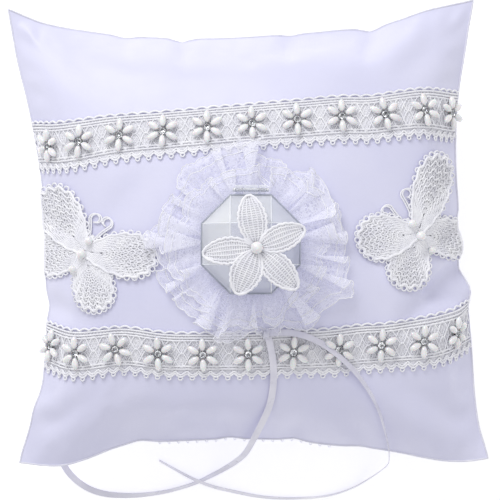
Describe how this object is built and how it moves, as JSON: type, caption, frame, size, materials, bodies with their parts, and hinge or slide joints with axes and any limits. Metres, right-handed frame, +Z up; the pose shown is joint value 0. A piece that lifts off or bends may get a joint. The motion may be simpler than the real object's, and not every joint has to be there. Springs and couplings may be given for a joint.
{
  "type": "ring bearer pillow",
  "caption": "Square stuffed satin cushion with lace bands, bead flowers, lace butterflies and a rosette round a clear hinged ring box, with a loose ribbon.",
  "frame": {"origin": "under the middle of the pillow, on the surface it lies on", "axes": "+Z up out of the pillow's face, +X to its right, +Y to its upper edge, where the box's hinge is"},
  "size_m": [0.2, 0.2168, 0.1033],
  "materials": {
    "satin": "satin",
    "fibre": "fluffy",
    "thread": "matt",
    "cotton_lace": "matt",
    "fine_lace": "sheer",
    "pearl": "pearl",
    "rhinestone": "polished",
    "silver_cup": "polished",
    "glue": "satin",
    "clear_plastic": "polished clear",
    "pad_satin": "satin",
    "steel": "drawn wire",
    "ribbon_satin": "satin"
  },
  "bodies": {
    "pillow": {"cover_front": "satin", "cover_back": "satin", "fibre_filling": "fibre", "closing_stitches": "thread", "upper_lace_band": "cotton_lace", "lower_lace_band": "cotton_lace", "upper_pearl_petals": "pearl", "lower_pearl_petals": "pearl", "upper_rhinestones": "rhinestone", "lower_rhinestones": "rhinestone", "upper_stone_cups": "silver_cup", "lower_stone_cups": "silver_cup", "left_butterfly_lace": "cotton_lace", "right_butterfly_lace": "cotton_lace", "left_butterfly_pearls": "pearl", "right_butterfly_pearls": "pearl", "outer_lace_ruffle": "fine_lace", "inner_lace_ruffle": "fine_lace", "box_glue_pad": "glue", "box_base": "clear_plastic", "ring_pad": "pad_satin", "hinge_pin": "steel", "ribbon_left_tail": "ribbon_satin", "ribbon_right_tail": "ribbon_satin", "ribbon_tack": "thread"},
    "lid": {"box_lid": "clear_plastic", "lid_flower_lace": "cotton_lace", "flower_centre_pearl": "pearl"}
  },
  "joints": [
    {"name": "lid_hinge", "type": "hinge", "parent": "pillow", "child": "lid", "pos_m": [0.002, 0.0163, 0.08495], "axis": [-1, 0, 0], "range_deg": [0, 110]}
  ]
}
